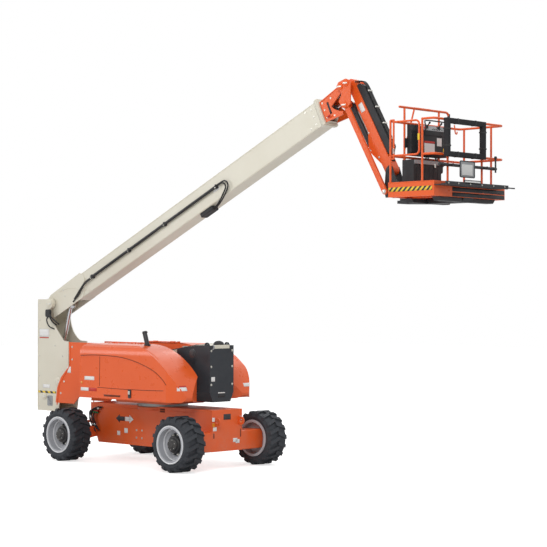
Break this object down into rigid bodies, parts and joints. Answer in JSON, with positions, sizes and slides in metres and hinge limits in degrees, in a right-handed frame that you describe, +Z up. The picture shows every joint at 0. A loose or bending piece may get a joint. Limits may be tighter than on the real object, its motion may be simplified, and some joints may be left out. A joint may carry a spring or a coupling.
{
  "type": "articulating boom lift",
  "caption": "Self-propelled articulating boom lift with slewing turntable, tower boom, telescopic main boom, jib and railed work platform.",
  "frame": {"origin": "on the ground under the middle of the machine's length and width, as posed in the picture", "axes": "+X towards the drive end and the platform, +Y to the machine's left, +Z up"},
  "size_m": [10.6997, 2.506, 6.7104],
  "materials": {
    "orange_paint": "gloss",
    "cream_paint": "gloss",
    "black_paint": "satin",
    "silver_paint": "satin",
    "tyre_rubber": "matte",
    "chrome_rod": "polished",
    "bearing_steel": "satin",
    "engine_alloy": "satin",
    "black_plastic": "matte",
    "orange_hood": "gloss"
  },
  "bodies": {
    "chassis": {"chassis_frame": "orange_paint", "drive_axle": "orange_paint", "steer_axle": "orange_paint", "slew_ring": "bearing_steel"},
    "knuckle_l": {"knuckle_left": "black_paint"},
    "knuckle_r": {"knuckle_right": "black_paint"},
    "tie_rod": {"steer_rod": "chrome_rod"},
    "wheel_dl": {"rim_drive_left": "silver_paint", "tyre_drive_left": "tyre_rubber"},
    "wheel_dr": {"rim_drive_right": "silver_paint", "tyre_drive_right": "tyre_rubber"},
    "wheel_sl": {"rim_steer_left": "silver_paint", "tyre_steer_left": "tyre_rubber"},
    "wheel_sr": {"rim_steer_right": "silver_paint", "tyre_steer_right": "tyre_rubber"},
    "turntable": {"turntable_frame": "orange_paint", "counterweight": "black_paint", "engine_block": "engine_alloy", "fluid_tanks": "black_paint"},
    "hood_l": {"hood_left": "orange_hood"},
    "hood_r": {"hood_right": "orange_hood", "exhaust_stack": "black_paint"},
    "tower": {"tower_boom": "cream_paint"},
    "tower_ext": {"tower_fly": "cream_paint"},
    "tower_cyl_barrel": {"tower_lift_barrel": "black_paint"},
    "tower_cyl_rod": {"tower_lift_rod": "chrome_rod"},
    "riser": {"upright": "cream_paint"},
    "boom": {"main_boom": "cream_paint", "boom_hose_tube": "black_plastic"},
    "boom_ext": {"main_fly": "cream_paint", "fly_nose": "orange_paint"},
    "lift_cyl_barrel": {"main_lift_barrel": "black_paint"},
    "lift_cyl_rod": {"main_lift_rod": "chrome_rod"},
    "head": {"jib_head": "orange_paint"},
    "level_cyl_barrel": {"level_barrel": "black_paint"},
    "level_cyl_rod": {"level_rod": "chrome_rod"},
    "jib": {"jib_arm": "orange_paint", "jib_hose_guard": "black_plastic"},
    "jib_bars": {"jib_link": "orange_paint"},
    "jib_cyl_barrel": {"jib_lift_barrel": "black_paint"},
    "jib_cyl_rod": {"jib_lift_rod": "chrome_rod"},
    "support": {"platform_support": "black_paint"},
    "platform": {"platform_carrier": "black_paint", "platform_floor": "orange_paint", "guardrail": "orange_paint", "control_console": "black_plastic", "tool_box": "black_plastic", "padded_frame": "black_plastic", "panel_tray": "black_paint"},
    "gate_leaf": {"gate": "orange_paint"}
  },
  "joints": [
    {"name": "steer_left", "type": "hinge", "parent": "chassis", "child": "knuckle_l", "pos_m": [-3.485, 0.78, 0.494], "axis": [0, 0, 1], "range_deg": [-32, 32]},
    {"name": "steer_right", "type": "hinge", "parent": "chassis", "child": "knuckle_r", "pos_m": [-3.485, -0.78, 0.494], "axis": [0, 0, 1], "range_deg": [-32.2, 32.2]},
    {"name": "steer_rod_slide", "type": "slide", "parent": "chassis", "child": "tie_rod", "axis": [0, 1, 0], "range_m": [-0.108, 0.108]},
    {"name": "wheel_drive_left", "type": "hinge", "parent": "chassis", "child": "wheel_dl", "pos_m": [-0.435, 1.03, 0.494], "axis": [0, 1, 0], "continuous": true},
    {"name": "wheel_drive_right", "type": "hinge", "parent": "chassis", "child": "wheel_dr", "pos_m": [-0.435, -1.03, 0.494], "axis": [0, 1, 0], "continuous": true},
    {"name": "wheel_steer_left", "type": "hinge", "parent": "knuckle_l", "child": "wheel_sl", "pos_m": [-3.485, 1.03, 0.494], "axis": [0, 1, 0], "continuous": true},
    {"name": "wheel_steer_right", "type": "hinge", "parent": "knuckle_r", "child": "wheel_sr", "pos_m": [-3.485, -1.03, 0.494], "axis": [0, 1, 0], "continuous": true},
    {"name": "slew", "type": "hinge", "parent": "chassis", "child": "turntable", "pos_m": [-1.96, 0, 1.112], "axis": [0, 0, 1], "continuous": true},
    {"name": "hood_left_open", "type": "hinge", "parent": "turntable", "child": "hood_l", "pos_m": [-1.96, 0.492, 2.216], "axis": [1, 0, 0], "range_deg": [0, 60]},
    {"name": "hood_right_open", "type": "hinge", "parent": "turntable", "child": "hood_r", "pos_m": [-1.96, -0.492, 2.216], "axis": [-1, 0, 0], "range_deg": [0, 60]},
    {"name": "tower_lift", "type": "hinge", "parent": "turntable", "child": "tower", "pos_m": [-0.68, 0, 2.06], "axis": [0, 1, 0], "range_deg": [0, 68]},
    {"name": "tower_extend", "type": "slide", "parent": "tower", "child": "tower_ext", "axis": [-0.9869, 0, -0.1616], "range_m": [0, 2.4]},
    {"name": "upright_level", "type": "hinge", "parent": "tower_ext", "child": "riser", "pos_m": [-4.71, 0, 1.4], "axis": [0, 1, 0], "range_deg": [-68.2, 0]},
    {"name": "tower_cylinder_swing", "type": "hinge", "parent": "turntable", "child": "tower_cyl_barrel", "pos_m": [-1.11, 0, 1.3], "axis": [0, 1, 0], "range_deg": [0, 62.26]},
    {"name": "tower_cylinder_stroke", "type": "slide", "parent": "tower_cyl_barrel", "child": "tower_cyl_rod", "axis": [-0.9846, 0, 0.1749], "range_m": [0, 0.9624]},
    {"name": "main_lift", "type": "hinge", "parent": "riser", "child": "boom", "pos_m": [-5, 0, 2.92], "axis": [0, -1, 0], "range_deg": [-25.15, 50]},
    {"name": "main_extend", "type": "slide", "parent": "boom", "child": "boom_ext", "axis": [0.9052, 0, 0.425], "range_m": [0, 5.5]},
    {"name": "lift_cylinder_swing", "type": "hinge", "parent": "riser", "child": "lift_cyl_barrel", "pos_m": [-5.14, 0, 1.1], "axis": [0, -1, 0], "range_deg": [-1.86, 3.6]},
    {"name": "lift_cylinder_stroke", "type": "slide", "parent": "lift_cyl_barrel", "child": "lift_cyl_rod", "axis": [0.2778, 0, 0.9606], "range_m": [-0.1501, 0.2964]},
    {"name": "head_level", "type": "hinge", "parent": "boom_ext", "child": "head", "pos_m": [2.57772, 0, 6.58047], "axis": [0, -1, 0], "range_deg": [-50.2, 25.35]},
    {"name": "level_cylinder_swing", "type": "hinge", "parent": "boom_ext", "child": "level_cyl_barrel", "pos_m": [1.91776, 0, 6.06845], "axis": [0, -1, 0], "range_deg": [-5.67, 11.17]},
    {"name": "level_cylinder_stroke", "type": "slide", "parent": "level_cyl_barrel", "child": "level_cyl_rod", "axis": [0.9052, 0, 0.425], "range_m": [-0.1086, 0.0556]},
    {"name": "jib_lift", "type": "hinge", "parent": "head", "child": "jib", "pos_m": [2.70472, 0, 6.63047], "axis": [0, -1, 0], "range_deg": [0, 125]},
    {"name": "jib_link_swing", "type": "hinge", "parent": "head", "child": "jib_bars", "pos_m": [2.67472, 0, 6.27047], "axis": [0, -1, 0], "range_deg": [0, 125.2]},
    {"name": "platform_level", "type": "hinge", "parent": "jib", "child": "support", "pos_m": [3.54972, 0, 5.15547], "axis": [0, -1, 0], "range_deg": [-125.2, 0]},
    {"name": "jib_cylinder_swing", "type": "hinge", "parent": "head", "child": "jib_cyl_barrel", "pos_m": [2.67472, 0, 6.27047], "axis": [0, -1, 0], "range_deg": [0, 123.01]},
    {"name": "jib_cylinder_stroke", "type": "slide", "parent": "jib_cyl_barrel", "child": "jib_cyl_rod", "axis": [0.5067, 0, -0.8621], "range_m": [0, 0.641]},
    {"name": "platform_rotate", "type": "hinge", "parent": "support", "child": "platform", "pos_m": [3.83972, 0, 4.70047], "axis": [0, 0, 1], "range_deg": [-90, 90]},
    {"name": "gate_swing", "type": "hinge", "parent": "platform", "child": "gate_leaf", "pos_m": [4.29972, -0.89, 5.30047], "axis": [0, 0, 1], "range_deg": [0, 80]}
  ],
  "couplings": [
    {"joint": "steer_right", "follows": "steer_left", "ratio": 1},
    {"joint": "steer_rod_slide", "follows": "steer_left", "m_per_rad": -0.19},
    {"joint": "upright_level", "follows": "tower_lift", "ratio": -1},
    {"joint": "tower_cylinder_swing", "follows": "tower_lift", "ratio": 0.9126},
    {"joint": "tower_cylinder_stroke", "follows": "tower_lift", "m_per_rad": 0.8092},
    {"joint": "lift_cylinder_swing", "follows": "main_lift", "ratio": 0.07},
    {"joint": "lift_cylinder_stroke", "follows": "main_lift", "m_per_rad": 0.3374},
    {"joint": "head_level", "follows": "main_lift", "ratio": -1},
    {"joint": "level_cylinder_swing", "follows": "main_lift", "ratio": 0.2214},
    {"joint": "level_cylinder_stroke", "follows": "main_lift", "m_per_rad": -0.1221},
    {"joint": "jib_link_swing", "follows": "jib_lift", "ratio": 1},
    {"joint": "platform_level", "follows": "jib_lift", "ratio": -1},
    {"joint": "jib_cylinder_swing", "follows": "jib_lift", "ratio": 0.9825},
    {"joint": "jib_cylinder_stroke", "follows": "jib_lift", "m_per_rad": 0.2929}
  ]
}
